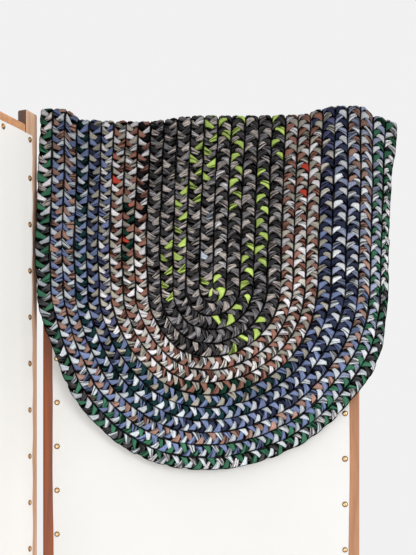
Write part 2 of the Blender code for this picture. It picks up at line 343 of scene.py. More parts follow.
def drape_middle(across, along):
    """Where points of the flat rug's middle layer hang. along is from the fold towards the front end."""
    front = along >= 0.0
    lean, left_off, right_off, wave, phase = (np.where(front, *pair) for pair in zip(FRONT_HANG, BACK_HANG))
    reach = np.abs(along)
    down = np.maximum(reach - FOLD_REACH, 0.0)
    angle = np.clip(reach - FLAT_TOP, 0.0, QUARTER_FOLD) / FOLD_RADIUS
    loose = smooth_step(down / LOOSE_LENGTH)
    x = RUG_CENTRE + across + lean * np.sin(math.pi * down / HANG_LENGTH)
    ripple = wave * (0.5 + 0.5 * np.sin(2.0 * math.pi * across / WAVE_PITCH + phase + WAVE_DRIFT * down))
    to_edge = smooth_step((np.abs(across) - RUG_WIDTH / 2 + EDGE_REACH) / EDGE_REACH)
    edge = to_edge * np.where(across < 0.0, left_off, right_off)
    out = np.minimum(reach, FLAT_TOP) + FOLD_RADIUS * np.sin(angle) + loose * (ripple + edge)
    rise = between(FOLD_LINE, RUG_CENTRE + across)
    settled = MEAN_RISE + (rise - MEAN_RISE) * np.exp(-down / SETTLE_LENGTH)
    z = RAIL_TOP + HALF_THICKNESS - FOLD_RADIUS + settled + FOLD_RADIUS * np.cos(angle) - down
    row_shift = between(ROW_SHIFTS, across) * between(ROW_SHIFT_FADE, down)
    left_shift = between(LEFT_SHIFTS, down) * between(LEFT_SHIFT_FADE, across)
    x += row_shift + np.where(front, left_shift, 0.0)
    z -= np.where(front, between(STRETCHES, across) * between(STRETCH_FADE, down), 0.0)
    return np.stack((PANEL_MIDDLE.x + x, PANEL_MIDDLE.y + np.where(front, -out, out), z), axis=1)


def drape(flat):
    """Flat points (across, along, height) carried to their places on the screen."""
    across, along, height = flat.T
    middle = drape_middle(across, along)
    sideways = drape_middle(across + SLOPE_STEP, along) - drape_middle(across - SLOPE_STEP, along)
    downwards = drape_middle(across, along + SLOPE_STEP) - drape_middle(across, along - SLOPE_STEP)
    outwards = np.cross(downwards, sideways)
    outwards /= np.linalg.norm(outwards, axis=1)[:, None]
    return middle + outwards * height[:, None]


# %% [markdown]
# ## The coil
# A rug maker sews the plait round a short straight start, always on the same side. Seen flat, the path is
# straight down the left, half a turn round the front end, straight up the right, and half a turn round the
# back end, which is one row wider so that the next turn lies outside. The path is a chain of points, and each
# point keeps the width of its row and how many repeats of the plait lie behind it. The repeats are counted
# here because the maker plaited the middle rows tighter than the first ones and the last one.

# %% The coil's path
PATH_STEP = 0.003
NARROW_END = 0.25
FIRST_PITCH = 0.0435
MIDDLE_PITCH = 0.0412
LAST_PITCH = 0.0465


def row_edge(turn):
    """How far a turn's inner edge is from the start seam. The first turns were plaited fatter."""
    inner = min(turn, INNER_ROWS)
    return inner * INNER_ROW_WIDTH + (turn - inner) * OUTER_ROW_WIDTH


def row_middle(turn):
    return (row_edge(turn) + row_edge(turn + 1)) / 2


def plait_pitch(turn):
    """Length of one repeat of the plait."""
    if turn < INNER_ROWS:
        return FIRST_PITCH
    return MIDDLE_PITCH if turn < ROWS - 1 else LAST_PITCH


def coil_pieces(turn):
    """One turn: (part, length, function from a share of it to the flat place and the row's fullness)."""
    radius = row_middle(turn)
    wide = (radius + row_middle(turn + 1)) / 2
    shift = (radius - row_middle(turn + 1)) / 2
    straight = 2 * HALF_STRAIGHT

    def right_side(share):
        """Up the right side. The last row narrows to its end there."""
        along = HALF_STRAIGHT - straight * share
        full = 1.0
        if turn == ROWS - 1:
            full = max(float(smooth_step((along + HALF_STRAIGHT) / END_TAPER)), NARROW_END)
        return row_edge(turn) + (radius - row_edge(turn)) * full, along, full

    yield "left", straight, lambda share: (-radius, -HALF_STRAIGHT + straight * share, 1.0)
    yield "front", math.pi * radius, lambda share: (-radius * math.cos(math.pi * share),
                                                    HALF_STRAIGHT + radius * math.sin(math.pi * share), 1.0)
    yield "right", straight, right_side
    if turn < ROWS - 1:
        yield "back", math.pi * wide, lambda share: (shift + wide * math.cos(math.pi * share),
                                                     -HALF_STRAIGHT - wide * math.sin(math.pi * share), 1.0)


part_starts = {}
coil_points = []
coil_widths = []
coil_repeats = []
coil_length = 0.0
repeats = 0.0
for turn in range(ROWS):
    for part, length, place_at in coil_pieces(turn):
        part_starts[turn + 1, part] = (coil_length, length)
        steps = round(length / PATH_STEP)
        last_step = steps if (turn, part) == (ROWS - 1, "right") else steps - 1
        for step in range(last_step + 1):
            across, along, full = place_at(step / steps)
            coil_points.append((across, along, 0.0))
            coil_widths.append(full * (row_edge(turn + 1) - row_edge(turn)))
            coil_repeats.append(repeats + length * step / steps / plait_pitch(turn))
        coil_length += length
        repeats += length / plait_pitch(turn)
print(f"coil: {coil_length:.2f} m of plait, {repeats:.0f} repeats, {len(coil_points)} points")

# %% Mesh of the coil's path
def keep(mesh, name, kind, values):
    """Keep a number, a vector or a colour on every vertex, for a tree or a material to read."""
    field = {"FLOAT": "value", "FLOAT_VECTOR": "vector", "FLOAT_COLOR": "color"}[kind]
    mesh.attributes.new(name, kind, "POINT").data.foreach_set(field, np.array(values).ravel())


coil_mesh = bpy.data.meshes.new("coil_path")
coil_mesh.from_pydata(coil_points, [(step, step + 1) for step in range(len(coil_points) - 1)], [])
keep(coil_mesh, "row_width", "FLOAT", coil_widths)
keep(coil_mesh, "repeats", "FLOAT", coil_repeats)

# %% [markdown]
# ## The plait
# Three strips pass over and under each other. Seen from the side, each swings across the row once while it
# rises and dips twice, which is the figure-of-eight rule of a flat plait. Rings of vertices could be placed
# by hand, but a path with a repeating rule is what Geometry Nodes are for. The tree cuts a length from the
# coil, bends three copies of it by sine and cosine, and sweeps an oval along each.

# %% Sizes of the plait
# A strip swings across by a share of the row's width and rises a little late. A straightness below 0 makes
# it stay longer at the row's edges and cross the middle more steeply.
SWING = 0.425
RISE = 0.0030
RISE_LAG = math.radians(20.0)
STRAIGHTNESS = -0.085
STRIP_HALF_WIDTH = 0.0094
STRIP_HALF_THICKNESS = 0.0029
# Where it crosses the middle a strip is narrowed to its waist and padded, and at the row's edges it is folded
# thin
WAIST = 0.42
CENTRE_PADDING = 0.72
FOLD_THINNING = 0.5
PADDING_SHARPNESS = 6.0
SQUARENESS = 0.92
RING_STEP = 0.00256
RING_POINTS = 12
# The ring that is swept gives only the count and the order of the points, which are then moved, so its own
# size doesn't matter
GUIDE_RADIUS = 0.001
print(f"three strips {STRIP_HALF_WIDTH * 2000:.1f} mm wide, rings of {RING_POINTS} points")


# %% Inputs of a geometry tree
def start_tree(name, sockets):
    """A tree with named inputs. Returns the tree, its graph, its input wires and their identifiers."""
    tree = bpy.data.node_groups.new(name, "GeometryNodeTree")
    identifiers = {}
    for label, kind, default in sockets:
        socket = tree.interface.new_socket(label, in_out="INPUT", socket_type=kind)
        if default is not None:
            socket.default_value = default
        identifiers[label] = socket.identifier
    tree.interface.new_socket("Geometry", in_out="OUTPUT", socket_type="NodeSocketGeometry")
    graph = Graph(tree)
    given = tree.nodes.new("NodeGroupInput")
    wires = {label: graph.wire(given, label) for label, _, _ in sockets}
    return tree, graph, wires, identifiers


def end_tree(graph, geometry, material):
    """Close a tree with real geometry and its material. Instances would be lost in a plain mesh."""
    geometry = graph.add("GeometryNodeRealizeInstances", None, {"Geometry": geometry})
    geometry = graph.add("GeometryNodeSetMaterial", None, {"Geometry": geometry, "Material": material})
    output = graph.tree.nodes.new("NodeGroupOutput")
    graph.tree.links.new(geometry.socket, output.inputs[0])
    print(f"{graph.tree.name} tree: {len(graph.tree.nodes)} nodes")


def grow(name, mesh, tree, identifiers, values):
    """Run a tree on a mesh and keep its result as a plain mesh object."""
    carrier = bpy.data.objects.new(name + "_carrier", mesh)
    bpy.context.scene.collection.objects.link(carrier)
    modifier = carrier.modifiers.new(name, "NODES")
    modifier.node_group = tree
    for label, value in values.items():
        modifier[identifiers[label]] = value
    bpy.context.view_layer.update()
    graph = bpy.context.evaluated_depsgraph_get()
    grown = bpy.data.meshes.new_from_object(carrier.evaluated_get(graph))
    carrier.modifiers.remove(modifier)
    bpy.data.objects.remove(carrier)
    grown.name = name
    return link_object(name, grown)


# %% The plait's geometry tree
plait_tree, plait, given, plait_inputs = start_tree("plait", (
    ("Geometry", "NodeSocketGeometry", None),
    ("Begin", "NodeSocketFloat", 0.0),
    ("End", "NodeSocketFloat", 1.0),
    ("Rings", "NodeSocketInt", 100),
    ("Swing", "NodeSocketFloat", SWING),
    ("Rise", "NodeSocketFloat", RISE),
    ("Half width", "NodeSocketFloat", STRIP_HALF_WIDTH),
    ("Half thickness", "NodeSocketFloat", STRIP_HALF_THICKNESS),
    ("Material", "NodeSocketMaterial", None),
))


def store(graph, geometry, name, value):
    """Keep a number on every point."""
    return graph.add("GeometryNodeStoreNamedAttribute", {"data_type": "FLOAT", "domain": "POINT"},
                     {"Geometry": geometry, "Name": name, "Value": value})


def stored(graph, name):
    return graph.add("GeometryNodeInputNamedAttribute", {"data_type": "FLOAT"}, {"Name": name})


def squared(wave):
    """A sine or cosine made squarer, for an oval with flatter sides."""
    return wave.math("SIGN", wave) * wave.absolute() ** SQUARENESS


coil = plait.add("GeometryNodeMeshToCurve", None, {"Mesh": given["Geometry"]})
spine = plait.add("GeometryNodeTrimCurve", {"mode": "LENGTH"},
                  {"Curve": coil, "Start": given["Begin"], "End": given["End"]})
spine = plait.add("GeometryNodeResampleCurve", {"mode": "COUNT"}, {"Curve": spine, "Count": given["Rings"]})
spine = store(plait, spine, "travelled",
              plait.add("GeometryNodeSplineParameter", None, None, "Length") + given["Begin"])
ring = plait.add("GeometryNodeCurvePrimitiveCircle", {"mode": "RADIUS"},
                 {"Resolution": RING_POINTS, "Radius": GUIDE_RADIUS})
ring = store(plait, ring, "round", plait.add("GeometryNodeInputIndex") / RING_POINTS)
tube = plait.add("GeometryNodeCurveToMesh", None, {"Curve": spine, "Profile Curve": ring, "Fill Caps": True})

round_angle = stored(plait, "round") * (2.0 * math.pi)
row_size = stored(plait, "row_width") / OUTER_ROW_WIDTH
forward = squared(round_angle.cos()) * given["Half width"] * row_size
outward = squared(round_angle.sin()) * given["Half thickness"] * row_size
tubes = []
for strip in range(3):
    phase = (stored(plait, "repeats") + strip / 3) * (2.0 * math.pi)
    swing = given["Swing"] * OUTER_ROW_WIDTH * row_size
    rise = given["Rise"] * row_size
    zigzag = (phase.cos() + (phase * 3.0).cos() * STRAIGHTNESS) / (1.0 + STRAIGHTNESS)
    zigzag_speed = (phase.sin() + (phase * 3.0).sin() * (3.0 * STRAIGHTNESS)) / (-1.0 - STRAIGHTNESS)
    side_speed = zigzag_speed * swing
    rise_speed = (phase * 2.0 - RISE_LAG).cos() * rise * 2.0
    speed = (side_speed * side_speed + rise_speed * rise_speed) ** 0.5
    padded = (phase.sin() ** PADDING_SHARPNESS) * CENTRE_PADDING
    thinned = (phase.cos() ** PADDING_SHARPNESS) * FOLD_THINNING
    padding = outward * (padded - thinned + 1.0)
    to_side = zigzag * swing - rise_speed / speed * padding
    lift = (phase * 2.0 - RISE_LAG).sin() * rise + side_speed / speed * padding
    ahead = forward * (phase.cos().absolute() * (1.0 - WAIST) + WAIST)
    sample = plait.add("GeometryNodeSampleCurve", {"mode": "LENGTH", "use_all_curves": False},
                       {"Curves": coil, "Length": stored(plait, "travelled") + ahead}, "Position").socket.node
    sideways = plait.add("ShaderNodeVectorMath", {"operation": "CROSS_PRODUCT"},
                         {0: plait.wire(sample, "Tangent"), 1: (0.0, 0.0, 1.0)})
    swung = plait.add("ShaderNodeVectorMath", {"operation": "SCALE"}, {0: sideways, "Scale": to_side})
    lifted = plait.add("ShaderNodeCombineXYZ", None, {"Z": lift})
    moved = plait.add("ShaderNodeVectorMath", {"operation": "ADD"}, {0: swung, 1: lifted})
    place = plait.add("ShaderNodeVectorMath", {"operation": "ADD"},
                      {0: plait.wire(sample, "Position"), 1: moved})
    told = store(plait, tube, "from_middle", to_side.absolute() / (row_size * OUTER_ROW_WIDTH))
    bent = plait.add("GeometryNodeSetPosition", None, {"Geometry": told, "Position": place})
    tubes.append(store(plait, bent, "strip", float(strip)))
joined = plait.add("GeometryNodeJoinGeometry", None, {"Geometry": tubes})
end_tree(plait, joined, given["Material"])

# %% [markdown]
# ## Strip colours
# The maker joined a new strip wherever one ran out, so each of the three strips changes colour at its own
# places along the coil. A table in the maker's words is the shortest way to write that: a turn, a part of
# it, the share of that part, and the three strips that run on from there.

# %% Dyes of the strips
def linear(red, green, blue):
    """A colour given as it looks on a screen, 0 to 255, in the linear numbers that materials use."""
    values = (np.array((red, green, blue)) / 255.0) ** 2.2
    return tuple(float(value) for value in values)


DYES = {
    "black": linear(30, 30, 32),
    "charcoal": linear(50, 49, 50),
    "graphite": linear(96, 94, 96),
    "heather": linear(146, 144, 146),
    "taupe": linear(134, 127, 123),
    "lime": linear(158, 180, 96),
    "steel": linear(152, 160, 172),
    "rust": linear(120, 86, 76),
    "terracotta": linear(135, 107, 98),
    "white": linear(184, 181, 184),
    "beige": linear(164, 160, 153),
    "stone": linear(136, 132, 123),
    "pale": linear(158, 163, 168),
    "frost": linear(188, 191, 195),
    "teal": linear(30, 50, 52),
    "pine": linear(30, 53, 45),
    "red": linear(160, 62, 50),
    "navy": linear(45, 49, 66),
    "violet": linear(75, 77, 104),
    "blue": linear(93, 103, 133),
    "dusk": linear(123, 129, 150),
    "green": linear(54, 92, 73),
    "mist": linear(178, 177, 177),
}

HEATHERED = ("charcoal", "graphite", "heather", "taupe", "mist")
print(f"{len(DYES)} dyes, {len(HEATHERED)} of them heathered")

# %% Joins of the strips
STRIPS = (
    (1, "left", 0.00, "charcoal", "graphite", "taupe"),
    (1, "left", 0.48, "lime", "graphite", "taupe"),
    (1, "left", 0.70, "charcoal", "graphite", "taupe"),
    (1, "left", 0.78, "steel", "graphite", "taupe"),
    (1, "left", 0.83, "charcoal", "graphite", "taupe"),
    (1, "left", 0.90, "steel", "graphite", "taupe"),
    (1, "left", 0.94, "charcoal", "graphite", "taupe"),
    (1, "left", 0.98, "lime", "charcoal", "taupe"),
    (1, "right", 0.06, "heather", "charcoal", "taupe"),
    (1, "right", 0.41, "lime", "charcoal", "taupe"),
    (1, "back", 0.00, "heather", "charcoal", "taupe"),
    (2, "left", 0.00, "charcoal", "heather", "taupe"),
    (2, "left", 0.59, "charcoal", "lime", "taupe"),
    (2, "left", 0.78, "charcoal", "graphite", "taupe"),
    (2, "front", 0.30, "charcoal", "graphite", "taupe"),
    (2, "right", 0.21, "charcoal", "lime", "taupe"),
    (2, "right", 0.48, "charcoal", "heather", "taupe"),
    (3, "left", 0.00, "charcoal", "graphite", "taupe"),
    (3, "left", 0.70, "lime", "graphite", "taupe"),
    (3, "left", 0.97, "charcoal", "graphite", "taupe"),
    (3, "front", 0.45, "lime", "graphite", "charcoal"),
    (3, "right", 0.12, "charcoal", "graphite", "taupe"),
    (4, "left", 0.00, "charcoal", "graphite", "taupe"),
    (4, "left", 0.86, "lime", "charcoal", "taupe"),
    (4, "front", 0.07, "graphite", "charcoal", "graphite"),
    (4, "right", 0.05, "lime", "charcoal", "graphite"),
    (4, "right", 0.33, "taupe", "charcoal", "graphite"),
    (5, "left", 0.00, "charcoal", "graphite", "taupe"),
    (5, "left", 0.46, "lime", "graphite", "taupe"),
    (5, "left", 0.53, "charcoal", "graphite", "taupe"),
    (5, "front", 0.25, "taupe", "charcoal", "charcoal"),
    (5, "front", 0.55, "lime", "graphite", "charcoal"),
    (5, "front", 0.86, "taupe", "graphite", "charcoal"),
    (5, "right", 0.35, "lime", "graphite", "charcoal"),
    (5, "right", 0.53, "heather", "graphite", "charcoal"),
    (6, "left", 0.00, "black", "white", "rust"),
    (6, "left", 0.82, "beige", "white", "rust"),
    (6, "right", 0.00, "stone", "white", "rust"),
    (7, "left", 0.00, "rust", "white", "stone"),
    (7, "left", 0.76, "red", "pine", "stone"),
    (7, "left", 0.785, "rust", "pine", "stone"),
    (7, "left", 0.84, "red", "pine", "stone"),
    (7, "left", 0.865, "rust", "pine", "stone"),
    (7, "left", 0.92, "rust", "white", "stone"),
    (7, "front", 0.10, "rust", "white", "beige"),
    (7, "right", 0.20, "rust", "white", "stone"),
    (7, "right", 0.25, "red", "white", "stone"),
    (7, "right", 0.275, "rust", "white", "stone"),
    (7, "right", 0.31, "red", "white", "stone"),
    (7, "right", 0.335, "rust", "white", "stone"),
    (8, "left", 0.00, "rust", "stone", "white"),
    (8, "left", 0.53, "red", "stone", "white"),
    (8, "left", 0.55, "rust", "stone", "white"),
    (8, "left", 0.60, "red", "stone", "white"),
    (8, "left", 0.62, "rust", "stone", "white"),
    (8, "left", 0.68, "red", "stone", "white"),
    (8, "left", 0.705, "rust", "stone", "white"),
    (8, "front", 0.35, "rust", "stone", "pine"),
    (8, "front", 0.64, "rust", "stone", "white"),
    (8, "right", 0.44, "rust", "stone", "navy"),
    (9, "left", 0.00, "blue", "stone", "white"),
    (9, "left", 0.86, "violet", "stone", "white"),
    (9, "front", 0.12, "blue", "stone", "teal"),
    (9, "front", 0.75, "blue", "stone", "navy"),
    (9, "right", 0.20, "violet", "beige", "navy"),
    (10, "left", 0.00, "blue", "stone", "navy"),
    (10, "front", 0.20, "blue", "pale", "teal"),
    (10, "front", 0.60, "blue", "pale", "navy"),
    (10, "right", 0.00, "dusk", "frost", "navy"),
    (11, "left", 0.00, "blue", "pale", "teal"),
    (11, "front", 0.40, "blue", "pale", "navy"),
    (11, "right", 0.00, "dusk", "frost", "navy"),
    (11, "right", 0.27, "dusk", "frost", "terracotta"),
    (11, "back", 0.00, "blue", "pale", "terracotta"),
    (12, "left", 0.00, "blue", "pale", "terracotta"),
    (12, "right", 0.00, "dusk", "frost", "terracotta"),
    (12, "back", 0.00, "blue", "pale", "terracotta"),
    (13, "left", 0.00, "blue", "pale", "terracotta"),
    (13, "front", 0.22, "blue", "pale", "green"),
    (13, "front", 0.80, "dusk", "frost", "green"),
    (14, "left", 0.00, "green", "white", "taupe"),
    (14, "left", 0.80, "green", "pale", "charcoal"),
    (14, "front", 0.37, "green", "pale", "heather"),
    (14, "front", 0.55, "green", "pale", "charcoal"),
    (14, "front", 0.66, "green", "pale", "heather"),
    (14, "front", 0.80, "green", "pale", "charcoal"),
    (14, "right", 0.00, "green", "frost", "mist"),
    (14, "right", 0.60, "green", "white", "charcoal"),
)

# %% Colours along the coil
strip_starts = []
for turn, part, share, *names in STRIPS:
    start, length = part_starts[turn, part]
    colours = [(*DYES[name], float(name in HEATHERED)) for name in names]
    strip_starts.append((start + share * length, colours))
assert strip_starts == sorted(strip_starts, key=lambda row: row[0])
change_places = np.array([start for start, _ in strip_starts])
change_colours = np.array([colours for _, colours in strip_starts])
print(f"{len(STRIPS)} joins in the strips")


def strip_colours(travelled, strip):
    """The dye of each vertex and whether it is heathered, by its place along the coil and its strip."""
    row = np.searchsorted(change_places, travelled, side="right") - 1
    return change_colours[np.maximum(row, 0), strip]


# %% [markdown]
# ## Cloth of the strips
# Jersey cut into strips rolls in on itself, so each strip has folds that run along it, with dark lines of
# painted shade where the cloth turns in. The large folds are geometry, made in the next step. The fine ones
# are a noise that is stretched along the strip. It reads a vector that each vertex keeps, its place round
# and along its own strip, so the folds follow the plait through every crossing. A ribbed noise gives the
# knit, and where the yarn is heathered it also flecks the dye light and dark. Between the strips hardly any
# light gets in, so each vertex keeps how high it lies, how far it is from its strip's edge and how far its
# strip has swung from the row's middle, and painted shade darkens the dye low down, at the strip's edges
# and between two rows.

# %% Cloth material
FOLD_SCALE = 135.0
RIB_SCALE = 900.0
CREASED_SCALE = 60.0
PATCH_SCALE = 36.0
FIBRE_SCALE = 700.0
# Most of a noise lies between these two values
NOISE_RANGE = (0.3, 0.7)
# Where the cloth is creased at all, how wide a crease is, and how dark its line of painted shade is
CREASED = (0.38, 0.56)
CREASE_WIDTH = (0.006, 0.062)
PAINTED_CREASE_SHADE = 0.16
# How dark and how light each noise makes the dye
RIB_RANGE = (0.25, 0.75)
RIB_TONES = (0.78, 1.16)
FLECK_TONES = (-0.75, 0.85)
PATCH_TONES = (0.88, 1.66)
FIBRE_TONES = (0.70, 1.34)
# Where the painted shade between the strips ends
DEEPEST_SHADE = 0.03
SHADED_HEIGHT = 0.0004
OPEN_HEIGHT = 0.0038
SHADED_EDGE = 0.32
OPEN_EDGE = 0.84
ROW_GAP_START = 0.385
ROW_GAP_END = 0.475
CLOTH_RELIEF = 0.0024

braid_material, graph, shader = make_material("braided_jersey", 0.92, Specular_IOR_Level=0.0)
strip_place = graph.kept("strip_place", "Vector")
folds = graph.noise(strip_place, FOLD_SCALE, 2.0, 0.55)
creased = graph.noise(strip_place, CREASED_SCALE, 1.0, 0.5).smooth(*CREASED)
fold_line = 1.0 - (1.0 - (folds - 0.5).absolute().smooth(*CREASE_WIDTH)) * creased
ribs = graph.noise(strip_place, RIB_SCALE, 2.0, 0.6)
patches = graph.noise(strip_place, PATCH_SCALE, 2.0, 0.5)
fibres = graph.noise(object_place(graph), FIBRE_SCALE, 3.0, 0.7)
flecks = ribs.smooth(*NOISE_RANGE, *FLECK_TONES) * graph.kept("heather") + 1.0
# Painted shade: darker low down, at a strip's edges and between two rows, where little light gets in
painted_shade_low = graph.kept("lift").smooth(SHADED_HEIGHT, OPEN_HEIGHT, DEEPEST_SHADE, 1.0)
painted_shade_at_edge = graph.kept("openness").smooth(SHADED_EDGE, OPEN_EDGE, DEEPEST_SHADE, 1.0)
painted_shade_between_rows = graph.kept("from_middle").smooth(ROW_GAP_START, ROW_GAP_END, 1.0, DEEPEST_SHADE)
# The crease lines darken the dye as painted shade
shade = fold_line.smooth(0.0, 1.0, PAINTED_CREASE_SHADE, 1.0) * ribs.smooth(*RIB_RANGE, *RIB_TONES) * flecks
shade = shade * patches.smooth(*NOISE_RANGE, *PATCH_TONES) * fibres.smooth(*NOISE_RANGE, *FIBRE_TONES)
shade = shade * (painted_shade_low * painted_shade_at_edge) * painted_shade_between_rows
grey = graph.add("ShaderNodeCombineColor", None, {"Red": shade, "Green": shade, "Blue": shade})
graph.feed(shader, "Base Color", graph.mix(1.0, graph.kept("dye", "Color"), grey, "MULTIPLY"))
add_bump(graph, shader, fold_line * 0.65 + ribs * 0.25 + fibres * 0.1, CLOTH_RELIEF)
print("cloth:", len(braid_material.node_tree.nodes), "nodes")

# %% [markdown]
# ## Growing the plait
# The coil is cut into five lengths, so that no mesh grows too large, and the tree sweeps each one. What it
# makes is as regular as a rope, and a hand-made plait isn't, so each strip gets soft lobes that wander round
# it, swells and thins, and strays a little from its path. All these waves come from one fixed seed. Then the
# flat plait is hung by the drape rule. The dyes are painted lighter from the fold to the lower end, as
# painted light for the lower rows, on which more light falls.

# %% Uneven strips
SEED = 14
# Lobes round a strip: their strength, how many there are, how far they wander and the lengths of that wave
LOBES = (
    (0.10, 3.0, 2.4, (0.071, 0.113, 0.29)),
    (0.06, 2.0, 2.6, (0.059, 0.131, 0.37)),
)
# How much a strip swells, and how far it strays across and along the rug, with the lengths of each wave
SWELLING = (0.18, (0.033, 0.087, 0.61))
STRAYING_ACROSS = (0.0013, (0.083, 0.171, 0.43))
STRAYING_ALONG = (0.0021, (0.067, 0.149, 0.53))


def wander(travelled, strip, lengths, rng):
    """A slow random wave along each strip, from -1 to 1."""
    total = np.zeros_like(travelled)
    for length in lengths:
        offsets = rng.uniform(0.0, 2.0 * math.pi, 3)
        total += np.sin(2.0 * math.pi * travelled / length + offsets[strip])
    return total / len(lengths)


def make_uneven(flat, around, travelled, strip):
    """Flat points of the plait, with the strips as uneven as those of a rug made by hand."""
    rng = np.random.default_rng(SEED)
    size = np.ones_like(travelled)
    for strength, lobes, turning, lengths in LOBES:
        size += strength * np.cos(lobes * around + turning * wander(travelled, strip, lengths, rng))
    size += SWELLING[0] * wander(travelled, strip, SWELLING[1], rng)
    middles = np.repeat(flat.reshape(-1, RING_POINTS, 3).mean(axis=1), RING_POINTS, axis=0)
    flat = middles + (flat - middles) * size[:, None]
    flat[:, 0] += STRAYING_ACROSS[0] * wander(travelled, strip, STRAYING_ACROSS[1], rng)
    flat[:, 1] += STRAYING_ALONG[0] * wander(travelled, strip, STRAYING_ALONG[1], rng)
    return flat


# %% Growing the plait
ZONES = 5
# Painted light: the dyes are scaled by the first value at the fold and the second at the lower end
PAINTED_LIGHT_AT_FOLD = 0.74
PAINTED_LIGHT_AT_END = 1.32
# For its noises a strip is a rod of this radius, this far from the next strip's, and shortened to this share
# of its length, which draws every fold out into a long one
ROD_RADIUS = 0.005
ROD_SPACING = 0.11
ROD_SHORTENING = 0.16
# How closely the painted shade keeps to a strip's edges
EDGE_SHARPNESS = 2.5


def take_values(mesh):
    """Read what the tree kept on the vertices, and take it off the mesh."""
    values = {}
    for name in ("travelled", "round", "strip", "row_width", "repeats"):
        values[name] = np.empty(len(mesh.vertices))
        mesh.attributes[name].data.foreach_get("value", values[name])
        mesh.attributes.remove(mesh.attributes[name])
    return values


def grow_zone(number):
    """One length of the coil as a plain mesh on the screen."""
    begin = coil_length * number / ZONES
    end = coil_length * (number + 1) / ZONES
    rings = round((end - begin) / RING_STEP)
    name = f"braid_{number + 1}"
    piece = grow(name, coil_mesh, plait_tree, plait_inputs, {
        "Begin": begin, "End": end, "Rings": rings, "Swing": SWING, "Rise": RISE,
        "Half width": STRIP_HALF_WIDTH, "Half thickness": STRIP_HALF_THICKNESS, "Material": braid_material})
    mesh = piece.data
    flat = np.empty(len(mesh.vertices) * 3)
    mesh.vertices.foreach_get("co", flat)
    values = take_values(mesh)
    travelled = values["travelled"]
    around = values["round"] * 2.0 * math.pi
    strip = np.rint(values["strip"]).astype(int)
    flat = make_uneven(flat.reshape(-1, 3), around, travelled, strip)
    mesh.vertices.foreach_set("co", drape(flat).ravel())
    mesh.flip_normals()

    colours = strip_colours(travelled, strip)
    # Painted light: lighter from the fold to the lower end, kept in the dye below
    painted_light_down = smooth_step(flat[:, 1] / (RUG_LENGTH / 2))
    dyes = colours[:, :3] * (PAINTED_LIGHT_AT_FOLD + (PAINTED_LIGHT_AT_END - PAINTED_LIGHT_AT_FOLD) * painted_light_down)[:, None]
    rod = (ROD_RADIUS * np.cos(around) + ROD_SPACING * strip, ROD_RADIUS * np.sin(around),
           ROD_SHORTENING * travelled)
    keep(mesh, "lift", "FLOAT", np.abs(flat[:, 2]))
    keep(mesh, "openness", "FLOAT", 1.0 - np.abs(np.cos(around)) ** EDGE_SHARPNESS)
    keep(mesh, "strip_place", "FLOAT_VECTOR", np.stack(rod, axis=1))
    keep(mesh, "heather", "FLOAT", colours[:, 3])
    keep(mesh, "dye", "FLOAT_COLOR", np.column_stack((dyes, np.ones(len(dyes)))))
    mesh.shade_smooth()
    mesh.update()
    triangles = sum(len(face.vertices) - 2 for face in mesh.polygons)
    whole = np.allclose(values["round"].reshape(-1, RING_POINTS), np.arange(RING_POINTS) / RING_POINTS)
    print(f"{name}: {rings} rings of {RING_POINTS}, {triangles} triangles, rings whole: {whole}")
    return piece


braids = [grow_zone(number) for number in range(ZONES)]
for braid in braids:
    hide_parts("rug")
    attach(braid, "root")

# %% [markdown]
# ## Heart of the rug
# Between the crossings of a real plait one sees only more cloth, the hidden turns of its strips, which lie in
# shade. A thin sheet in the middle of the thickness stands for them and closes the small gaps, and its
# near-black colour is painted shade. It is an oval net of rings round the start seam, finer near the fold,
# and is hung by the same rule.

# %% Heart sheet
HEART_INSET = 0.006
HEART_HALF_THICKNESS = 0.0010
HEART_RIM = 0.3
HEART_RINGS = 24
HEART_STEPS = 20
FINE_STEP = 0.004
FINE_STEPS = 9
COARSE_STEPS = 16


def oval_ring(radius, straights):
    """A closed line round the start seam at this distance from it."""
    ends = [math.pi * step / HEART_STEPS for step in range(1, HEART_STEPS)]
    points = [(-radius, along) for along in straights]
    points += [(-radius * math.cos(angle), HALF_STRAIGHT + radius * math.sin(angle)) for angle in ends]
    points += [(radius, along) for along in reversed(straights)]
    points += [(radius * math.cos(angle), -HALF_STRAIGHT - radius * math.sin(angle)) for angle in ends]
    return points


near_fold = FINE_STEP * FINE_STEPS
fine = [FINE_STEP * step for step in range(-FINE_STEPS, FINE_STEPS + 1)]
coarse = [near_fold + (HALF_STRAIGHT - near_fold) * (step + 1) / COARSE_STEPS for step in range(COARSE_STEPS)]
straights = [-along for along in reversed(coarse)] + fine + coarse
heart_flat = []
for side in (1, -1):
    for step in range(HEART_RINGS + 1):
        radius = (RUG_WIDTH / 2 - HEART_INSET) * step / HEART_RINGS
        height = side * HEART_HALF_THICKNESS * (1.0 if step < HEART_RINGS else HEART_RIM)
        heart_flat += [(*point, height) for point in oval_ring(radius, straights)]
print(f"heart: {len(heart_flat)} points")

# %% Faces of the heart sheet
ring_count = len(oval_ring(1.0, straights))
heart_faces = []
for side in range(2):
    base = side * (HEART_RINGS + 1) * ring_count
    for step in range(HEART_RINGS):
        for spot in range(ring_count):
            low = base + step * ring_count + spot
            low_next = base + step * ring_count + (spot + 1) % ring_count
            face = (low, low_next, low_next + ring_count, low + ring_count)
            heart_faces.append(face if side else tuple(reversed(face)))
outer = HEART_RINGS * ring_count
other = (HEART_RINGS + 1) * ring_count
for spot in range(ring_count):
    following = (spot + 1) % ring_count
    heart_faces.append((outer + spot, outer + following, other + outer + following, other + outer + spot))
heart_mesh = bpy.data.meshes.new("rug_heart")
heart_mesh.from_pydata(drape(np.array(heart_flat)).tolist(), [], heart_faces)
shape = bmesh.new()
shape.from_mesh(heart_mesh)
bmesh.ops.remove_doubles(shape, verts=shape.verts, dist=0.00005)
bmesh.ops.recalc_face_normals(shape, faces=shape.faces)
print("heart: open edges", sum(edge.is_boundary for edge in shape.edges), "faces", len(shape.faces))
shape.to_mesh(heart_mesh)
shape.free()
heart_mesh.shade_smooth()

# %% Finish of the heart sheet
DEPTH_SCALE = 180.0

